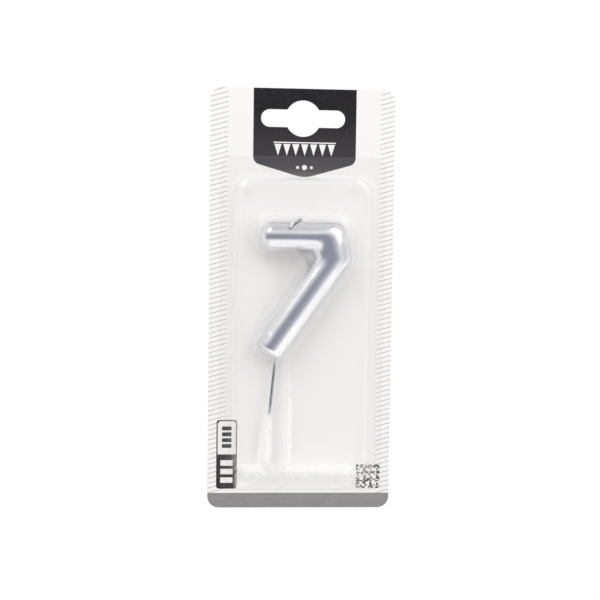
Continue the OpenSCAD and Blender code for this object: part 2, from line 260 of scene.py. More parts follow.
def bump(tree, height, strength, depth_mm, normal=None):
    inputs = {"Height": height, "Strength": strength, "Distance": depth_mm * MM}
    if normal is not None:
        inputs["Normal"] = normal
    return node(tree, "ShaderNodeBump", inputs).outputs["Normal"]


def near(tree, vector, centre, radius):
    """1 at centre and 0 beyond radius, both in millimetres."""
    away = node(
        tree,
        "ShaderNodeVectorMath",
        {0: vector, 1: [c * MM for c in centre]},
        operation="DISTANCE",
    ).outputs["Value"]
    return ramp(tree, away, 1.0, 0.0, radius * 0.35 * MM, radius * MM)


def part_of(tree, vector, axis):
    return node(tree, "ShaderNodeSeparateXYZ", {0: vector}).outputs[axis]


def principled(tree, out, inputs):
    """Puts a principled shader with these inputs on the material's output."""
    shader = node(tree, "ShaderNodeBsdfPrincipled", inputs)
    tree.links.new(shader.outputs[0], out.inputs["Surface"])


# ---------------------------------------------------------------- materials

PAPER_GRAIN = 1500


def card_material():
    """White coated board: fibres under the coat, a grey cut edge and an uncoated back."""
    made, tree, out = new_material("card_board_look")
    place = coords(tree)
    fibre = noise(tree, place, PAPER_GRAIN, 6, 0.7)
    cloud = noise(tree, place, 45, 3)
    coat = ramp(tree, fibre, 0, 1, 0.3, 0.7)
    front = blend_colour(tree, coat, (0.835, 0.828, 0.822), (0.875, 0.868, 0.862))
    front = blend_colour(tree, ramp(tree, cloud, 0, 0.5, 0.35, 0.75), front, (0.85, 0.838, 0.83))
    strands = noise(tree, stretched(tree, place, (1, 1, 0.22)), 2600, 5, 0.75)
    bare = ramp(tree, strands, 0, 1, 0.35, 0.7)
    back = blend_colour(tree, bare, (0.62, 0.595, 0.56), (0.77, 0.75, 0.715))
    layers = noise(tree, stretched(tree, place, (0.2, 1, 0.2)), 9000, 2)
    cut = ramp(tree, layers, 0, 1, 0.35, 0.65)
    edge = blend_colour(tree, cut, (0.55, 0.535, 0.51), (0.76, 0.75, 0.73))
    facing = surface_y(tree)
    is_back = math_node(tree, "GREATER_THAN", facing, 0.5)
    is_edge = math_node(tree, "LESS_THAN", math_node(tree, "ABSOLUTE", facing), 0.5)
    colour = blend_colour(tree, is_edge, blend_colour(tree, is_back, front, back), edge)
    coat_rough = math_node(tree, "MULTIPLY_ADD", fibre, 0.12, 0.42)
    rough = math_node(tree, "MULTIPLY_ADD", is_back, 0.35, coat_rough)
    height = math_node(tree, "MULTIPLY_ADD", is_back, math_node(tree, "MULTIPLY", strands, 3.0), fibre)
    principled(
        tree,
        out,
        {
            "Base Color": colour,
            "Roughness": rough,
            "Normal": bump(tree, height, 0.25, 0.02),
            "Specular IOR Level": 0.35,
        },
    )
    return made


def ink_material(name, dark, light, grain, rough, fleck=None, level=0.4, stretch=(1, 1, 1), lift=None):
    """Printed ink, mottled between two tones.

    fleck is the tone of worn specks, level the specular level, and lift (tone, z, z) a painted
    reflection:
    the paler tone that the ink is painted with below that range of z in millimetres.
    """
    made, tree, out = new_material(name)
    place = coords(tree)
    mottle = noise(tree, stretched(tree, place, stretch), grain, 5, 0.65)
    colour = blend_colour(tree, ramp(tree, mottle, 0, 1, 0.32, 0.72), dark, light)
    # Painted reflection: the ink is painted paler below a range of z
    if lift:
        tone, low, high = lift
        share = ramp(tree, part_of(tree, place, "Z"), 1, 0, low * MM, high * MM)
        colour = blend_colour(tree, share, colour, tone)
    if fleck:
        spots = ramp(tree, cells(tree, place, 1300), 1, 0, 0.05, 0.22)
        areas = ramp(tree, noise(tree, place, 110, 3), 0, 1, 0.46, 0.66)
        colour = blend_colour(tree, math_node(tree, "MULTIPLY", spots, areas), colour, fleck)
    paper = noise(tree, place, PAPER_GRAIN, 5, 0.7)
    principled(
        tree,
        out,
        {
            "Base Color": colour,
            "Roughness": ramp(tree, mottle, rough - 0.06, rough + 0.08, 0.3, 0.7),
            "Normal": bump(tree, paper, 0.2, 0.015),
            "Specular IOR Level": level,
        },
    )
    return made


def striped_material():
    """Fine grey lines that rise to the right, printed on the white coat."""
    made, tree, out = new_material("striped_ink_look")
    place = coords(tree)
    wander = math_node(tree, "MULTIPLY_ADD", noise(tree, place, 600, 3), 0.00012, -0.00006)
    split = node(tree, "ShaderNodeSeparateXYZ", {0: place}).outputs
    across = math_node(tree, "MULTIPLY_ADD", split["X"], -math.tan(HATCH_LEAN), split["Z"])
    across = math_node(tree, "ADD", across, wander)
    phase = math_node(tree, "FRACT", math_node(tree, "DIVIDE", across, HATCH_PITCH * MM))
    away = math_node(tree, "ABSOLUTE", math_node(tree, "SUBTRACT", phase, 0.5))
    line = ramp(tree, away, 1, 0, 0.06, 0.10)
    worn = ramp(tree, noise(tree, place, 1400, 4), 0.55, 1.0, 0.3, 0.55)
    line = math_node(tree, "MULTIPLY", line, worn)
    fibre = noise(tree, place, PAPER_GRAIN, 6, 0.7)
    coat = ramp(tree, fibre, 0, 1, 0.3, 0.7)
    white = blend_colour(tree, coat, (0.845, 0.838, 0.832), (0.88, 0.873, 0.867))
    colour = blend_colour(tree, line, white, (0.46, 0.435, 0.43))
    principled(
        tree,
        out,
        {
            "Base Color": colour,
            "Roughness": math_node(tree, "MULTIPLY_ADD", line, -0.1, 0.47),
            "Normal": bump(tree, fibre, 0.25, 0.02),
            "Specular IOR Level": 0.35,
        },
    )
    return made


def code_material():
    """Dark square with white cells scattered over it at random, which say nothing."""
    made, tree, out = new_material("code_look")
    place = coords(tree)
    cell = CODE_W / CODE_CELLS * MM
    snapped = node(tree, "ShaderNodeVectorMath", {0: place, 1: (cell, 1.0, cell)}, operation="SNAP")
    chance = node(
        tree, "ShaderNodeTexWhiteNoise", {"Vector": snapped.outputs["Vector"]}, noise_dimensions="3D"
    )
    white = math_node(tree, "GREATER_THAN", chance.outputs["Value"], 0.55)
    fibre = noise(tree, place, PAPER_GRAIN, 5, 0.7)
    dark = blend_colour(tree, fibre, (0.03, 0.03, 0.035), (0.09, 0.09, 0.095))
    colour = blend_colour(tree, white, dark, (0.86, 0.855, 0.85))
    principled(
        tree,
        out,
        {
            "Base Color": colour,
            "Roughness": math_node(tree, "MULTIPLY_ADD", white, 0.1, 0.36),
            "Normal": bump(tree, fibre, 0.2, 0.015),
        },
    )
    return made


def oval(tree, vector, centre, radii, tilt=0.0, core=0.1):
    """1 in the core of an upright oval and 0 at its edge: centre and radii are (x, z) in millimetres."""
    moved = node(
        tree, "ShaderNodeMapping", {"Vector": vector, "Location": (-centre[0] * MM, 0, -centre[1] * MM)}
    ).outputs["Vector"]
    turned = node(
        tree, "ShaderNodeMapping", {"Vector": moved, "Rotation": (0, math.radians(tilt), 0)}
    ).outputs["Vector"]
    squeezed = stretched(tree, turned, (1 / (radii[0] * MM), 0, 1 / (radii[1] * MM)))
    away = node(tree, "ShaderNodeVectorMath", {0: squeezed}, operation="LENGTH").outputs["Value"]
    return ramp(tree, away, 1, 0, core, 1.0)


def patch(tree, vector, x_range, z_range, soft):
    """1 inside a rectangle of the XZ plane and 0 outside it, with edges soft millimetres wide."""
    split = node(tree, "ShaderNodeSeparateXYZ", {0: vector}).outputs
    share = 1.0
    for axis, (low, high) in (("X", x_range), ("Z", z_range)):
        rise = ramp(tree, split[axis], 0, 1, low * MM, (low + soft) * MM)
        fall = ramp(tree, split[axis], 1, 0, (high - soft) * MM, high * MM)
        share = math_node(tree, "MULTIPLY", math_node(tree, "MULTIPLY", rise, fall), share)
    return share


# Painted glints and glare on the film at the tray's and the bubble's top corners and along the channel,
# and painted light over the shade in the notch: middle (x, z), half-widths (x, z), tilt in degrees,
# share of the oval that has the full strength, and that strength
PAINTED_LIGHT_SPOTS = (
    ((-25.4, -28.5), (1.7, 4.2), -45, 0.1, 0.6),
    ((25.6, -28.1), (1.6, 4.0), 45, 0.1, 0.5),
    ((-17.4, -42.9), (2.2, 6.0), -48, 0.2, 0.5),
    ((17.2, -43.0), (2.2, 6.0), 48, 0.2, 0.45),
    ((-15.1, -142.0), (3.8, 23.0), -3, 0.25, 0.62),
    # Painted light that lifts the shade in the notch
    ((3.2, -59.8), (4.5, 5.0), 0, 0.1, 0.14),
    ((-4.7, -136.0), (1.9, 36.0), 0, 0.2, 0.32),
)
# Rectangles of painted glare along the tray's foot: x range, z range, edge width, strength
PAINTED_FOOT_GLARE = (
    ((-28.5, 24.5), (-155.4, -148.4), 2.8, 0.45),
    ((-29.0, 24.5), (-162.2, -153.8), 1.5, 0.27),
)


def film_material():
    """Thin clear film, glossier at grazing angles, with white on its walls that is partly haze and
    partly a painted highlight, painted glints and glare at its corners, channel and foot, and painted
    light in the notch.
    """
    made, tree, out = new_material("clear_film_look")
    place = coords(tree)
    ripple = noise(tree, place, 55, 2, 0.5)
    grain = noise(tree, place, 700, 5, 0.7)
    normal = bump(tree, ripple, 0.10, 1.2)
    drawn = node(tree, "ShaderNodeAttribute", attribute_name="drawn").outputs["Fac"]
    # The oval strengthens the walls' white round the number's top: a painted highlight
    painted_halo = oval(tree, place, (0.0, -43.0), (42.0, 15.0))
    painted_halo = math_node(tree, "MULTIPLY_ADD", painted_halo, 0.2, 0.15)
    haze_and_painted_glare = math_node(tree, "MULTIPLY_ADD", drawn, painted_halo, 0.02)
    for middle, half, tilt, core, strength in PAINTED_LIGHT_SPOTS:
        painted_spot = math_node(tree, "MULTIPLY", oval(tree, place, middle, half, tilt, core), strength)
        haze_and_painted_glare = math_node(tree, "MAXIMUM", haze_and_painted_glare, painted_spot)
    for x_range, z_range, soft, strength in PAINTED_FOOT_GLARE:
        painted_band = math_node(tree, "MULTIPLY", patch(tree, place, x_range, z_range, soft), strength)
        haze_and_painted_glare = math_node(tree, "MAXIMUM", haze_and_painted_glare, painted_band)
    haze_and_painted_glare = math_node(tree, "MULTIPLY", haze_and_painted_glare, ramp(tree, grain, 0.95, 1.05, 0.3, 0.7))
    facing = node(tree, "ShaderNodeLayerWeight", {"Blend": 0.5, "Normal": normal}).outputs["Facing"]
    gloss = math_node(tree, "MULTIPLY_ADD", math_node(tree, "POWER", facing, 4.0), 0.4, 0.012)
    thickness = math_node(tree, "POWER", facing, 3.0)
    tint = blend_colour(tree, thickness, (1.0, 0.997, 0.995), (0.96, 0.96, 0.96))
    clear = node(tree, "ShaderNodeBsdfTransparent", {"Color": tint})
    white = (0.985, 0.98, 0.975, 1.0)
    milk = node(tree, "ShaderNodeBsdfDiffuse", {"Color": white})
    glow = node(tree, "ShaderNodeBsdfTranslucent", {"Color": white})
    haze_and_glare_white = node(tree, "ShaderNodeMixShader", {"Fac": 0.42, 1: milk.outputs[0], 2: glow.outputs[0]})
    shine = node(
        tree,
        "ShaderNodeBsdfPrincipled",
        {
            "Base Color": (0.97, 0.975, 0.98, 1.0),
            "Metallic": 1.0,
            "Roughness": ramp(tree, grain, 0.15, 0.23, 0.3, 0.7),
            "Normal": normal,
        },
    )
    hazed_and_glared = node(tree, "ShaderNodeMixShader", {"Fac": haze_and_painted_glare, 1: clear.outputs[0], 2: haze_and_glare_white.outputs[0]})
    mixed = node(tree, "ShaderNodeMixShader", {"Fac": gloss, 1: hazed_and_glared.outputs[0], 2: shine.outputs[0]})
    tree.links.new(mixed.outputs[0], out.inputs["Surface"])
    return made


def wax_material():
    """Silver lacquer over wax: satin, with a fine grain, soft dents and a crinkle near the foot."""
    made, tree, out = new_material("silver_wax_look")
    place = coords(tree)
    grain = noise(tree, place, 3200, 3, 0.6)
    peel = noise(tree, place, 420, 4, 0.55)
    dents = noise(tree, place, 90, 2, 0.5)
    foot = near(tree, place, (-15.8, -WAX_Y - 4.5, -94.8), 4.2)
    crinkle = noise(tree, stretched(tree, place, (1, 1, 0.6)), 1100, 6, 0.75)
    crinkle = math_node(tree, "MULTIPLY", crinkle, foot)
    pits = ramp(tree, cells(tree, place, 170), 1, 0, 0.02, 0.075)
    broad = ramp(tree, dents, 0, 1, 0.35, 0.7)
    tone = blend_colour(tree, broad, (0.80, 0.81, 0.84), (0.86, 0.865, 0.88))
    tone = blend_colour(tree, ramp(tree, grain, 0, 0.35, 0.35, 0.75), tone, (0.70, 0.71, 0.75))
    tone = blend_colour(tree, math_node(tree, "MULTIPLY", pits, 0.5), tone, (0.9, 0.9, 0.9))
    normal = bump(tree, dents, 0.12, 0.6)
    normal = bump(tree, peel, 0.12, 0.10, normal)
    normal = bump(tree, grain, 0.10, 0.02, normal)
    normal = bump(tree, crinkle, 0.9, 0.5, normal)
    principled(
        tree,
        out,
        {
            "Base Color": tone,
            "Metallic": 1.0,
            "Roughness": ramp(tree, peel, 0.15, 0.23, 0.3, 0.7),
            "Normal": normal,
        },
    )
    return made


def wick_material():
    """Yarn soaked in the same silver lacquer, with painted shade on its flanks."""
    made, tree, out = new_material("wick_yarn_look")
    place = coords(tree)
    fibre = noise(tree, stretched(tree, place, (1, 1, 0.5)), 5200, 5, 0.7)
    clump = noise(tree, place, 1500, 3)
    tone = blend_colour(tree, ramp(tree, fibre, 0, 1, 0.3, 0.7), (0.66, 0.665, 0.69), (0.93, 0.93, 0.94))
    tone = blend_colour(tree, ramp(tree, clump, 0, 0.4, 0.5, 0.75), tone, (0.74, 0.72, 0.69))
    # Painted shade: the flanks, facing away from the front, are painted dark
    painted_flank = ramp(tree, math_node(tree, "ABSOLUTE", surface_y(tree)), 0.7, 0, 0.2, 0.6)
    tone = blend_colour(tree, painted_flank, tone, (0.22, 0.22, 0.24))
    principled(
        tree,
        out,
        {
            "Base Color": tone,
            "Metallic": 0.35,
            "Roughness": ramp(tree, fibre, 0.28, 0.5, 0.3, 0.7),
            "Normal": bump(tree, fibre, 0.5, 0.06),
        },
    )
    return made


def cotton_material():
    """Bare cotton at the wick's cut end."""
    made, tree, out = new_material("wick_cotton_look")
    place = coords(tree)
    fluff = noise(tree, place, 6500, 6, 0.75)
    tone = blend_colour(tree, ramp(tree, fluff, 0, 1, 0.3, 0.7), (0.62, 0.61, 0.59), (0.84, 0.83, 0.81))
    principled(
        tree,
        out,
        {
            "Base Color": tone,
            "Roughness": ramp(tree, fluff, 0.8, 0.95, 0.3, 0.7),
            "Normal": bump(tree, fluff, 0.8, 0.08),
        },
    )
    return made


def steel_material():
    """Dark drawn rod with fine lines along it, with painted highlights on its flanks and a painted glare
    over its lower part.
    """
    made, tree, out = new_material("pick_steel_look")
    place = coords(tree)
    turned = node(
        tree,
        "ShaderNodeMapping",
        {"Vector": place, "Rotation": (0, -PICK_LEAN, 0), "Scale": (1, 1, 0.03)},
    ).outputs["Vector"]
    lines = noise(tree, turned, 9000, 3)
    stain = noise(tree, place, 350, 4)
    drawn = ramp(tree, lines, 0, 1, 0.35, 0.65)
    tone = blend_colour(tree, drawn, (0.30, 0.31, 0.35), (0.45, 0.465, 0.51))
    tone = blend_colour(tree, ramp(tree, stain, 0, 0.5, 0.5, 0.8), tone, (0.24, 0.245, 0.27))
    low, high = PICK_GLARE_Z
    # Painted glare over the lower part and painted highlights on the flanks
    painted_glare = ramp(tree, part_of(tree, place, "Z"), 1.0, 0.0, low * MM, high * MM)
    painted_flank = ramp(tree, math_node(tree, "ABSOLUTE", surface_y(tree)), 0.8, 0.0, 0.5, 0.88)
    painted_glare = math_node(tree, "MAXIMUM", painted_glare, painted_flank)
    tone = blend_colour(tree, painted_glare, tone, (0.93, 0.935, 0.95))
    principled(
        tree,
        out,
        {
            "Base Color": tone,
            "Metallic": 1.0,
            "Roughness": ramp(tree, lines, 0.2, 0.34, 0.3, 0.7),
            "Normal": bump(tree, lines, 0.2, 0.02),
        },
    )
    return made


def floor_material():
    """Pale studio sheet."""
    made, tree, out = new_material("floor_look")
    place = coords(tree)
    mottle = noise(tree, place, 300, 4)
    principled(
        tree,
        out,
        {
            "Base Color": blend_colour(tree, mottle, (0.83, 0.83, 0.825), (0.86, 0.86, 0.855)),
            "Roughness": 0.9,
            "Normal": bump(tree, mottle, 0.05, 0.2),
        },
    )
    return made


# ---------------------------------------------------------------- mesh helpers


def mesh_piece(name, points, faces, materials, face_materials=None, normals=None):
    """A smooth mesh object from points in millimetres."""
    data = bpy.data.meshes.new(name)
    data.from_pydata([tuple(p) for p in np.asarray(points, float) * MM], [], faces)
    for m in materials:
        data.materials.append(m)
    data.polygons.foreach_set("use_smooth", [True] * len(data.polygons))
    if face_materials is not None:
        data.polygons.foreach_set("material_index", face_materials)
    data.update()
    if normals is not None:
        data.normals_split_custom_set_from_vertices([tuple(n) for n in normals])
    made = bpy.data.objects.new(name, data)
    bpy.context.scene.collection.objects.link(made)
    return made


def ring_faces(rings, count):
    """Quads between consecutive rings of count points each."""
    faces = []
    for k in range(rings - 1):
        low, high = k * count, (k + 1) * count
        for i in range(count):
            j = (i + 1) % count
            faces.append((low + i, high + i, high + j, low + j))
    return faces


def loft(rings):
    """Points and faces of a closed solid through rings of equal length, with a fan over each end."""
    count = len(rings[0])
    points = [p for ring in rings for p in ring]
    faces = ring_faces(len(rings), count)
    for ring, flip in ((0, True), (len(rings) - 1, False)):
        middle = np.mean(rings[ring], axis=0)
        points.append(middle)
        base, tip = ring * count, len(points) - 1
        for i in range(count):
            j = (i + 1) % count
            faces.append((base + i, base + j, tip) if flip else (base + j, base + i, tip))
    return points, faces


def unit(v):
    v = np.asarray(v, float)
    return v / np.linalg.norm(v)


def corner(a, b, c, radius, steps):
    """Points of the arc that rounds the corner b of the path a, b, c."""
    u, v = unit(a - b), unit(c - b)
    half = math.acos(float(np.clip(u @ v, -1, 1))) / 2
    centre = b + unit(u + v) * radius / math.sin(half)
    first = b + u * radius / math.tan(half) - centre
    last = b + v * radius / math.tan(half) - centre
    a0 = math.atan2(first[1], first[0])
    sweep = (math.atan2(last[1], last[0]) - a0 + math.pi) % math.tau - math.pi
    angles = [a0 + sweep * i / steps for i in range(steps + 1)]
    return [centre + radius * np.array([math.cos(t), math.sin(t)]) for t in angles]


def between(a, b, steps):
    """Points between a and b, without the two ends."""
    return [a + (b - a) * i / steps for i in range(1, steps)]


def rounded(corners, radii, steps=10):
    """Closed outline with round corners."""
    n = len(corners)
    points = []
    for i in range(n):
        points += corner(corners[i - 1], corners[i], corners[(i + 1) % n], radii[i], steps)
    return np.array(points)


def relaxed(points, rounds):
    """The path with its bends eased, ends kept."""
    p = np.array(points, float)
    for _ in range(rounds):
        p[1:-1] = 0.25 * p[:-2] + 0.5 * p[1:-1] + 0.25 * p[2:]
    return p


def signed_distance(x, z, outline):
    """Distance to a closed outline, negative inside."""
    a, b = outline, np.roll(outline, -1, axis=0)
    best = np.full(x.shape, 1e9)
    inside = np.zeros(x.shape, bool)
    for (ax, az), (bx, bz) in zip(a, b):
        ex, ez = bx - ax, bz - az
        length = ex * ex + ez * ez
        if length < 1e-12:
            continue
        t = np.clip(((x - ax) * ex + (z - az) * ez) / length, 0, 1)
        best = np.minimum(best, (x - ax - t * ex) ** 2 + (z - az - t * ez) ** 2)
        if ez != 0:
            crosses = (az > z) != (bz > z)
            inside ^= crosses & (x < ax + (z - az) * ex / ez)
    return np.where(inside, -1, 1) * np.sqrt(best)


def soft_max(a, b, width):
    """The larger of a and b, with a fillet where they meet."""
    h = np.clip(1 - np.abs(a - b) / width, 0, None)
    return np.maximum(a, b) + h * h * width / 4


# ---------------------------------------------------------------- blister


def tray_share(x, z):
    """Share of the tray's leaning wall climbed at a point: 0 at its foot, 1 where the face starts."""
    side = np.minimum(x - TRAY_X[0], TRAY_X[1] - x)
    top, foot = TRAY_Z[1] - z, z - TRAY_Z[0]
    at_top = top / TRAY_LEAN < foot / TRAY_FOOT_LEAN
    end = np.where(at_top, top, foot)
    lean = np.where(at_top, TRAY_LEAN, TRAY_FOOT_LEAN)
    straight = np.minimum(side / TRAY_LEAN, end / lean)
    a = TRAY_LEAN**2 + lean**2
    b = TRAY_LEAN * (side - TRAY_R) + lean * (end - TRAY_R)
    c = (side - TRAY_R) ** 2 + (end - TRAY_R) ** 2 - TRAY_R**2
    arc = (b + np.sqrt(np.maximum(b * b - a * c, 0))) / a
    in_corner = (side < TRAY_LEAN * arc + TRAY_R) & (end < lean * arc + TRAY_R)
    return np.where(in_corner, arc, straight)


def eased(share, power):
    """A wall's rise: steep at the foot and level at the top; straight below the foot."""
    up = 1 - (1 - np.clip(share, 0, 1)) ** power
    return np.where(share < 0, power * share, up)


def channel_height(x, z):
    """Depth of the arched channel over the pick."""
    along = np.clip((z - CHANNEL_Z[0]) / (CHANNEL_Z[1] - CHANNEL_Z[0]), 0, 1)
    middle = CHANNEL_X[0] + (CHANNEL_X[1] - CHANNEL_X[0]) * along
    half = CHANNEL_HALF[0] + (CHANNEL_HALF[1] - CHANNEL_HALF[0]) * along
    foot = TRAY_DEPTH - CHANNEL_SINK
    into_end = np.clip((CHANNEL_Z[0] + CHANNEL_ROUND - z) / CHANNEL_ROUND, 0, 1)
    rise = 1 - np.hypot((x - middle) / half, into_end) ** CHANNEL_POWER
    rise = np.where(z > CHANNEL_Z[1] + CHANNEL_FADE, -1, np.maximum(rise, -1))
    return foot + (CHANNEL_DEPTH - foot) * rise


def bubble_outline():
    """The number's outline with its top raised over the wick and a web across the notch."""
    lift = np.array([0, WICK_ROOM])
    corners = [BAR_LEFT_TOP + lift, BAR_LEFT_FOOT, NOTCH, END_LEFT, END_RIGHT, ELBOW_LOW]
    corners.append(ELBOW_TOP + lift)
    radii = [BAR_H / 2, BAR_H / 2, NOTCH_WEB_R, END_R, END_R, ELBOW_LOW_R, ELBOW_TOP_R]
    return rounded(corners, radii)


def film_depth(x, z):
    """Depth of the film's outer face in front of the card's back."""
    share = tray_share(x, z)
    tray = FLANGE_DEPTH + (TRAY_DEPTH - FLANGE_DEPTH) * eased(share, TRAY_POWER)
    out = signed_distance(x, z, bubble_outline())
    wall = eased((BUBBLE_ROOM - out) / BUBBLE_RUN, BUBBLE_POWER)
    bubble = TRAY_DEPTH + (BUBBLE_DEPTH - TRAY_DEPTH) * wall
    raised = soft_max(bubble, channel_height(x, z), FILLET)
    front = soft_max(tray, raised, FILLET)
    front = np.where(share > RAISED_FROM, front, tray)
    return soft_max(np.full(x.shape, FLANGE_DEPTH), front, FLANGE_FILLET)


# Bands of the film's grid: where each ends, and the spacing in it. The finest ones cross the number, and
# their diagonals run along its stroke.
GRID_X = ((-30.0, 1.8), (-25.0, 0.6), (24.0, 0.28), (27.0, 1.0), (32.0, 0.6), (FLANGE_X[1], 1.5))
GRID_Z = (
    (-158.5, 1.3),
    (-149.0, 0.6),
    (-105.0, 1.2),
    (-39.0, 0.40),
    (-29.5, 1.2),
    (-24.5, 0.6),
    (FLANGE_Z[1], 1.6),
)


def grid_lines(start, bands):
    """Lines from start across bands of (end, spacing)."""
    lines = [start]
    for end, spacing in bands:
        start = lines[-1]
        steps = max(1, round((end - start) / spacing))
        lines += [start + (end - start) * i / steps for i in range(1, steps + 1)]
    return np.array(lines)


def channel_shear(x, z):
    """Sideways shift that lays the grid's columns along the channel's leaning left side."""
    along = np.clip((CHANNEL_Z[1] - z) / (CHANNEL_Z[1] - CHANNEL_Z[0]), 0, 1)
    top = CHANNEL_X[1] - CHANNEL_HALF[1]
    shift = CHANNEL_X[0] - CHANNEL_HALF[0] - top
    share = np.interp(x, (-25.0, top - 2.5, top + 3.0, CHANNEL_X[1] + CHANNEL_HALF[1]), (0, 1, 1, 0))
    return shift * along * share


def round_flange_corners(x, z):
    """Bends the square corners of the grid into the flange's round corners."""
    x, z = x.copy(), z.copy()
    for sx, edge_x in ((-1, FLANGE_X[0]), (1, FLANGE_X[1])):
        for sz, edge_z in ((-1, FLANGE_Z[0]), (1, FLANGE_Z[1])):
            u = (x - (edge_x - sx * FLANGE_R)) * sx / FLANGE_R
            v = (z - (edge_z - sz * FLANGE_R)) * sz / FLANGE_R
            inside = (u > 0) & (v > 0)
            new_u = u * np.sqrt(np.maximum(1 - v * v / 2, 0))
            new_v = v * np.sqrt(np.maximum(1 - u * u / 2, 0))
            x = np.where(inside, edge_x + sx * FLANGE_R * (new_u - 1), x)
            z = np.where(inside, edge_z + sz * FLANGE_R * (new_v - 1), z)
    return x, z


def make_blister(material):
    """The film as one closed shell: outer face, inner face and the flange's edge."""
    xs = grid_lines(FLANGE_X[0], GRID_X)
    zs = grid_lines(FLANGE_Z[0], GRID_Z)
    x, z = np.meshgrid(xs, zs, indexing="ij")
    x = x + channel_shear(x, z)
    turns = np.arange(BLUR_SAMPLES) * math.tau / BLUR_SAMPLES
    spread = [(r * math.cos(t), r * math.sin(t)) for r in FILM_BLUR for t in turns]
    depth = np.mean([film_depth(x + dx, z + dz) for dx, dz in spread], axis=0)
    across, along = np.gradient(depth, xs, zs)
    stretch, shear = np.gradient(x, xs, zs)
    slope_x = across / stretch
    slope_z = along - slope_x * shear
    # The white that this share gives the steep walls is partly haze and partly a painted highlight
    gentle, steep = HAZE_SLOPES
    drawn = np.clip((np.hypot(slope_x, slope_z) - gentle) / (steep - gentle), 0, 1)
    drawn = relaxed(relaxed(drawn * drawn * (3 - 2 * drawn), HAZE_SPREAD).T, HAZE_SPREAD).T
    x, z = round_flange_corners(x, z)
    normal = np.stack([-slope_x, -np.ones_like(depth), -slope_z], axis=-1)
    normal /= np.linalg.norm(normal, axis=-1, keepdims=True)
    outer = np.stack([x, -depth, z], axis=-1)
    inner = outer - FILM_T * normal
    for edge in (0, -1):
        inner[edge] = outer[edge] + (0, FILM_T, 0)
    rows, columns = x.shape
    count = rows * columns
    faces = []
    for i in range(rows - 1):
        for k in range(columns - 1):
            a, b = i * columns + k, (i + 1) * columns + k
            # The quad's diagonal joins the two corners that are nearer in depth
            corners = (a, b, b + 1, a + 1)
            if abs(depth[i, k] - depth[i + 1, k + 1]) > abs(depth[i + 1, k] - depth[i, k + 1]):
                corners = (b, b + 1, a + 1, a)
            faces.append(corners)
            faces.append(tuple(count + c for c in corners[::-1]))
    rim = (
        [i * columns for i in range(rows)]
        + [(rows - 1) * columns + k for k in range(1, columns)]
        + [i * columns + columns - 1 for i in range(rows - 2, -1, -1)]
        + [k for k in range(columns - 2, 0, -1)]
    )
    for a, b in zip(rim, rim[1:] + rim[:1]):
        faces.append((a, count + a, count + b, b))
    points = np.concatenate([outer.reshape(-1, 3), inner.reshape(-1, 3)])
    normals = np.concatenate([normal.reshape(-1, 3), -normal.reshape(-1, 3)])
    made = mesh_piece("blister_film", points, faces, [material], normals=normals)
    share = made.data.attributes.new("drawn", "FLOAT", "POINT")
    share.data.foreach_set("value", np.tile(drawn.ravel(), 2))
    return made


# ---------------------------------------------------------------- candle


def section(a, b, deep):
    """Oval section between rail points a and b, deep to each side of the number's middle plane."""
    middle, arm = (a + b) / 2, (a - b) / 2
    ring = []
    for i in range(SECTION_SIDES):
        t = math.tau * i / SECTION_SIDES
        p = middle + arm * math.cos(t)
        ring.append((p[0], -WAX_Y - deep * math.sin(t), p[1]))
    return ring


def number_rings():
    """Sections from the bar's round left end, round the elbow and down to the stroke's end."""
    deep = WAX_T / 2
    cap_r = BAR_H / 2
    start = [np.array([SEVEN_X + cap_r, SEVEN_Z]), np.array([SEVEN_X + cap_r, BAR_FOOT])]
    top_steps, side_steps, low_steps = ELBOW_STEPS
    elbow = corner(BAR_LEFT_TOP, ELBOW_TOP, ELBOW_LOW, ELBOW_TOP_R, top_steps)
    low = corner(ELBOW_TOP, ELBOW_LOW, END_RIGHT, ELBOW_LOW_R, low_steps)
    elbow += between(elbow[-1], low[0], side_steps)
    elbow += low
    inner_elbow = corner(BAR_LEFT_FOOT, NOTCH, END_LEFT, NOTCH_R, len(elbow) - 1)
    stop = [END_RIGHT - STROKE_DIR * END_R, END_LEFT - STROKE_DIR * END_R]
    rails = []
    for first, turn, last in ((start[0], elbow, stop[0]), (start[1], inner_elbow, stop[1])):
        rail = [first, *between(first, turn[0], BAR_STEPS), *turn]
        rail += [*between(turn[-1], last, STROKE_STEPS), last]
        rails.append(relaxed(rail, RAIL_EASING))
    outer, inner = rails
    rings = []
    for i in range(CAP_STEPS, 0, -1):
        t = CAP_END * i / CAP_STEPS
        x, z = SEVEN_X + cap_r * (1 - math.sin(t)), SEVEN_Z - cap_r
        reach = cap_r * math.cos(t)
        top, foot = np.array([x, z + reach]), np.array([x, z - reach])
        rings.append(section(top, foot, deep * math.cos(t)))
    rings += [section(a, b, deep) for a, b in zip(outer, inner)]
    for i in range(1, FOOT_STEPS + 1):
        t = FOOT_END * i / FOOT_STEPS
        along = STROKE_DIR * END_R * math.sin(t)
        tuck = STROKE_SIDE * END_R * (1 - math.cos(t))
        rings.append(section(outer[-1] + along - tuck, inner[-1] + along + tuck, deep * math.cos(t)))
    return rings


def revolved(origin, axis, profile, count):
    """Rings round an axis through origin: profile holds (distance along it, radius) pairs."""
    axis = unit(axis)
    side = unit(np.cross(axis, (0, 1, 0)) if abs(axis[1]) < 0.9 else np.cross(axis, (1, 0, 0)))
    other = np.cross(axis, side)
    rings = []
    for along, radius in profile:
        centre = np.array(origin) + axis * along
        turns = [math.tau * i / count for i in range(count)]
        rings.append([centre + radius * (side * math.cos(t) + other * math.sin(t)) for t in turns])
    return rings


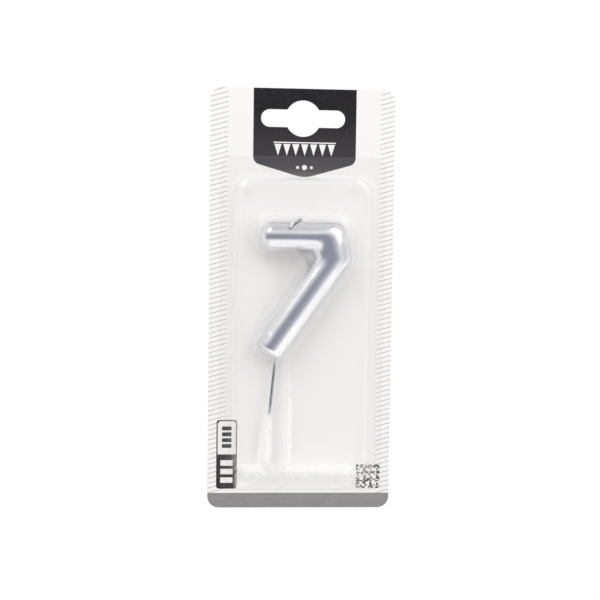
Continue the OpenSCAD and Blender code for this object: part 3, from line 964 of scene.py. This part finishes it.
def turn_softly(seven, rings):
    """Blends the normals along the number's length where it turns at the elbow."""
    rings = np.array(rings)
    middles = rings.mean(axis=1)
    steps = np.linalg.norm(np.diff(middles, axis=0), axis=1)
    along = np.concatenate([[0.0], np.cumsum(steps)])
    weight = np.exp(-0.5 * ((along[:, None] - along) / ELBOW_BLEND) ** 2) * np.gradient(along)
    weight /= weight.sum(axis=1, keepdims=True)
    elbow = (ELBOW_TOP + NOTCH) / 2
    away = np.hypot(middles[:, 0] - elbow[0], middles[:, 2] - elbow[1])
    share = np.clip((ELBOW_FAR - away) / (ELBOW_FAR - ELBOW_NEAR), 0, 1)[:, None, None]
    normals = np.array([v.normal for v in seven.data.vertices])
    used = rings.shape[0] * rings.shape[1]
    grid = normals[:used].reshape(rings.shape)
    grid = grid + (np.einsum("ij,jkc->ikc", weight, grid) - grid) * share
    grid /= np.linalg.norm(grid, axis=-1, keepdims=True)
    normals[:used] = grid.reshape(-1, 3)
    seven.data.normals_split_custom_set_from_vertices([tuple(n) for n in normals])


def make_wax(material):
    """The number with the small mound of wax that the wick comes out of."""
    rings = number_rings()
    points, faces = loft(rings)
    more, more_faces = loft(revolved((WICK_X, -WAX_Y, SEVEN_Z), (0, 0, 1), MOUND, MOUND_SIDES))
    base = len(points)
    faces += [tuple(base + v for v in f[::-1]) for f in more_faces]
    made = mesh_piece("wax_seven", np.array(points + more), faces, [material])
    turn_softly(made, rings)
    return made


def wick_path():
    """Centre points of the wick: up through the wax, over the fold and along the drooping end."""
    root = np.array([WICK_X, -WAX_Y, 0.0])
    up_steps, turn_steps, droop_steps = WICK_STEPS
    up = [np.array([0, z]) for z in np.linspace(SEVEN_Z - WICK_DEEP, FOLD_Z - FOLD_BEND, up_steps)]
    turn = [
        np.array([FOLD_BEND * (1 - math.cos(t)), FOLD_Z - FOLD_BEND + FOLD_BEND * math.sin(t)])
        for t in np.linspace(0, math.pi / 2, turn_steps)[1:]
    ]
    centre = np.array([-FOLD_R * math.sin(FOLD_DIP), FOLD_Z - FOLD_R * math.cos(FOLD_DIP)])
    first = math.asin((FOLD_BEND - centre[0]) / FOLD_R)
    droop = [
        centre + FOLD_R * np.array([math.sin(t), math.cos(t)])
        for t in np.linspace(first, FOLD_DIP + FOLD_ARC, droop_steps)[1:]
    ]
    flat = relaxed(up + turn + droop, WICK_EASING)
    return [root + FOLD_AHEAD * s + np.array([0, 0, z]) for s, z in flat]


def make_wick(yarn, cotton):
    """Three twisted strands in lacquer, with a cut end of bare cotton."""
    path = wick_path()
    across = np.cross(FOLD_AHEAD, (0, 0, 1))
    travelled = 0.0
    rings = []
    for i, p in enumerate(path):
        a, b = path[max(i - 1, 0)], path[min(i + 1, len(path) - 1)]
        side = np.cross(across, unit(b - a))
        if i:
            travelled += np.linalg.norm(p - path[i - 1])
        ring = []
        for k in range(WICK_SIDES):
            t = math.tau * k / WICK_SIDES
            twist = math.tau * travelled / WICK_PITCH / WICK_STRANDS
            strand = abs(math.cos(WICK_STRANDS / 2 * (t + twist)))
            r = WICK_R * (1 - WICK_GROOVE + WICK_GROOVE * strand**GROOVE_POWER)
            ring.append(p + r * (side * math.cos(t) + across * math.sin(t)))
        rings.append(ring)
    onward = unit(path[-1] - path[-2])
    last = np.array(rings[-1])
    for share, beyond in WICK_END:
        rings.append(list(path[-1] + (last - path[-1]) * share + onward * beyond))
    points, faces = loft(rings)
    # The last two bands of sides and the fan over the end are bare cotton
    sides = (len(rings) - 1) * WICK_SIDES
    is_cotton = [0] * len(faces)
    for f in [*range(sides - 2 * WICK_SIDES, sides), *range(len(faces) - WICK_SIDES, len(faces))]:
        is_cotton[f] = 1
    return mesh_piece("wick", points, faces, [yarn, cotton], is_cotton)


def make_pick(material):
    """The rod under the number: a slim neck in the wax, the shaft and a blunt point."""
    axis = np.array([-math.sin(PICK_LEAN), 0, -math.cos(PICK_LEAN)])
    shaft = PICK_L - PICK_POINT - PICK_IN
    profile = [(-PICK_IN, PICK_NECK_R * 0.8), (-PICK_IN + 0.15, PICK_NECK_R)]
    profile += [(PICK_NECK_OUT - 0.02, PICK_NECK_R), (PICK_NECK_OUT, PICK_R - 0.08)]
    profile += [(PICK_NECK_OUT + 0.08, PICK_R)]
    straight = np.linspace(0, shaft - PICK_NECK_OUT - 0.9, 20)
    profile += [(PICK_NECK_OUT + 0.4 + s, PICK_R) for s in straight]
    profile += [(shaft - 0.2, PICK_R), (shaft + 0.2, PICK_R - 0.02)]
    for s in np.linspace(0.15, 1, 10):
        profile.append((shaft + (PICK_POINT - 0.12) * s, PICK_R + (PICK_TIP_R - PICK_R) * s))
    profile += [(shaft + PICK_POINT - 0.04, PICK_TIP_R * 0.8), (shaft + PICK_POINT, PICK_TIP_R * 0.35)]
    points, faces = loft(revolved(PICK_EXIT, axis, profile, PICK_SIDES))
    return mesh_piece("pick_rod", points, [f[::-1] for f in faces], [material])


# ---------------------------------------------------------------- build

board = card_material()
dark_ink = ink_material(
    "dark_ink_look",
    (0.010, 0.009, 0.0115),
    (0.020, 0.018, 0.022),
    900,
    0.42,
    (0.13, 0.13, 0.135),
    level=0.2,
    # The header's ink is painted paler towards its bottom, a painted reflection
    lift=((0.045, 0.042, 0.05), -19.0, 6.0),
)
tag_ink = ink_material(
    "tag_ink_look", (0.010, 0.009, 0.0115), (0.024, 0.022, 0.026), 900, 0.42, level=0.25
)
white_ink = ink_material("white_ink_look", (0.80, 0.795, 0.79), (0.88, 0.875, 0.87), 1400, 0.45)
silver_ink = ink_material(
    "silver_ink_look", (0.245, 0.234, 0.24), (0.285, 0.274, 0.28), 700, 0.38, stretch=(0.3, 1, 1)
)
striped_ink = striped_material()
seal_coat = ink_material(
    "seal_coat_look", (0.835, 0.828, 0.824), (0.868, 0.862, 0.858), 700, 0.22, level=0.5
)
wax = wax_material()
yarn = wick_material()

for node_name, surface in {
    "backing_card": board,
    "header_print": dark_ink,
    "header_ornament": white_ink,
    "footer_print": silver_ink,
    "hatch_print_left": striped_ink,
    "hatch_print_right": striped_ink,
    "size_tag_print": tag_ink,
    "code_print": code_material(),
    "heat_seal": seal_coat,
}.items():
    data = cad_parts[node_name].data
    data.materials.clear()
    data.materials.append(surface)

blister = make_blister(film_material())
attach(blister, "blister")
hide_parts("blister_shell")

seven = make_wax(wax)
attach(seven, "candle")
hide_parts("wax_body")

pick = make_pick(steel_material())
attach(pick, "candle")
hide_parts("pick")

wick = make_wick(yarn, cotton_material())
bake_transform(wick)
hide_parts("wick_core", "wick_tip")

# ---------------------------------------------------------------- floor, light and camera


LIGHT_SIZE = 0.45
LIGHT_TARGET = (0.0, 0.0, -0.08)
# Yaw, pitch and roll in radians, place in millimetres, focal length in millimetres
CAMERA_TURN = (-0.05596, -0.05251, 0.01326)
CAMERA_PLACE = (-22.735, -400.0, -57.454)
CAMERA_LENS = 55.05
FLOOR_Z = -500.0
FLOOR_R = 650.0


def make_floor(z, radius, count=96):
    """Round pale sheet under the object, in millimetres, kept out of the object's light and gloss."""
    turns = [math.tau * i / count for i in range(count)]
    points = [(radius * math.cos(t), radius * math.sin(t), z) for t in turns]
    floor = mesh_piece("studio_floor", points, [tuple(range(count))], [floor_material()])
    floor.visible_diffuse = floor.visible_glossy = floor.visible_shadow = False


def lobe(tree, direction, towards, inner, outer):
    """1 within the angle inner of a direction, 0 beyond outer, in degrees."""
    aim = {0: direction, 1: tuple(unit(towards))}
    facing = node(tree, "ShaderNodeVectorMath", aim, operation="DOT_PRODUCT").outputs["Value"]
    return ramp(tree, facing, 0, 1, math.cos(math.radians(outer)), math.cos(math.radians(inner)))


def seen_at(right, up):
    """Direction at angles in degrees to the right of and above the object's front."""
    u, w = math.radians(right), math.radians(up)
    return (math.sin(u) * math.cos(w), -math.cos(u) * math.cos(w), math.sin(w))


# Zones and lamps of the room that gloss sees: angles to the right of and above the object's front, angle
# of the full tone, angle where it ends, and the tone
ROOM_ZONES = (
    (0, 66, 20, 44, (0.62, 0.64, 0.68)),
    (0, -54, 14, 38, (1.24, 1.24, 1.24)),
    (66, -34, 14, 42, (1.32, 1.32, 1.31)),
    (0, 96, 18, 44, (0.60, 0.62, 0.66)),
    (60, -2, 8, 24, (0.66, 0.68, 0.72)),
)
ROOM_LAMPS = (
    (-37, 33, 5, 12, (1.75, 1.75, 1.75)),
    (-36, 41, 6, 12, (2.6, 2.6, 2.6)),
    (38, 27, 10, 17, (2.4, 2.4, 2.4)),
)
DARK_SIDE = (0.24, 0.26, 0.33)


def dark_strip(tree, direction):
    """1 in the dim strip before the object's front: level, long to the left and short to the right."""
    split = node(tree, "ShaderNodeSeparateXYZ", {0: direction}).outputs
    ahead = math_node(tree, "MAXIMUM", math_node(tree, "MULTIPLY", split["Y"], -1.0), 0.01)
    aside = math_node(tree, "DIVIDE", split["X"], ahead)
    strip = ramp(tree, aside, 0, 1, -2.4, -1.3)
    strip = math_node(tree, "MULTIPLY", strip, ramp(tree, aside, 1, 0, 0.0, 1.0))
    strip = math_node(tree, "MULTIPLY", strip, ramp(tree, split["Z"], 0, 1, -0.50, -0.27))
    return math_node(tree, "MULTIPLY", strip, ramp(tree, split["Z"], 1, 0, 0.08, 0.38))


def make_world():
    """White studio: plain white to the camera, zoned in reflections, brighter above for soft light."""
    world = bpy.data.worlds.new("studio")
    bpy.context.scene.world = world
    world.use_nodes = True
    tree = world.node_tree
    tree.nodes.clear()
    direction = node(tree, "ShaderNodeTexCoord").outputs["Generated"]
    behind = lobe(tree, direction, (0, 1, 0), 30, 100)
    room = blend_colour(tree, behind, (0.95, 0.95, 0.96), (1.0, 1.0, 1.0))
    for right, up, inner, outer, tone in ROOM_ZONES:
        room = blend_colour(tree, lobe(tree, direction, seen_at(right, up), inner, outer), room, tone)
    room = blend_colour(tree, dark_strip(tree, direction), room, DARK_SIDE)
    for right, up, inner, outer, tone in ROOM_LAMPS:
        room = blend_colour(tree, lobe(tree, direction, seen_at(right, up), inner, outer), room, tone)
    above = lobe(tree, direction, (0, -0.3, 1), 20, 100)
    soft = blend_colour(tree, above, (0.64, 0.62, 0.612), (1.0, 0.995, 0.99))
    path = node(tree, "ShaderNodeLightPath")
    room = blend_colour(tree, path.outputs["Is Diffuse Ray"], room, soft)
    room = blend_colour(tree, path.outputs["Is Camera Ray"], room, (1.0, 1.0, 1.0))
    shader = node(tree, "ShaderNodeBackground", {"Color": room, "Strength": 1.0})
    out = tree.nodes.new("ShaderNodeOutputWorld")
    tree.links.new(shader.outputs[0], out.inputs["Surface"])


def area_light(name, place, power):
    """A soft square light aimed at the object, unseen in its gloss."""
    data = bpy.data.lights.new(name, "AREA")
    data.shape = "SQUARE"
    data.size = LIGHT_SIZE
    data.energy = power
    made = bpy.data.objects.new(name, data)
    made.location = place
    made.rotation_mode = "QUATERNION"
    made.rotation_quaternion = (Vector(LIGHT_TARGET) - Vector(place)).to_track_quat("-Z", "Y")
    made.visible_glossy = False
    bpy.context.scene.collection.objects.link(made)


def make_camera():
    """Camera almost square on to the card, turned a little to the right and down."""
    yaw, pitch, roll = CAMERA_TURN
    level = math.cos(pitch)
    forward = Vector((-math.sin(yaw) * level, math.cos(yaw) * level, math.sin(pitch)))
    right = Vector((math.cos(yaw), math.sin(yaw), 0.0))
    up = right.cross(forward)
    turned_right = right * math.cos(roll) + up * math.sin(roll)
    turned_up = up * math.cos(roll) - right * math.sin(roll)
    data = bpy.data.cameras.new("camera")
    data.sensor_width = 36.0
    data.lens = CAMERA_LENS
    data.clip_start, data.clip_end = 0.01, 20.0
    made = bpy.data.objects.new("camera", data)
    matrix = Matrix((turned_right, turned_up, -forward)).transposed().to_4x4()
    matrix.translation = Vector(CAMERA_PLACE) * MM
    made.matrix_world = matrix
    bpy.context.scene.collection.objects.link(made)
    bpy.context.scene.camera = made


make_floor(FLOOR_Z, FLOOR_R)
make_world()
area_light("key", (-0.35, -0.75, 0.75), 3.15)
area_light("fill", (0.5, -0.85, 0.45), 2.25)
make_camera()

scene = bpy.context.scene
scene.view_settings.view_transform = "Standard"
scene.view_settings.look = "None"
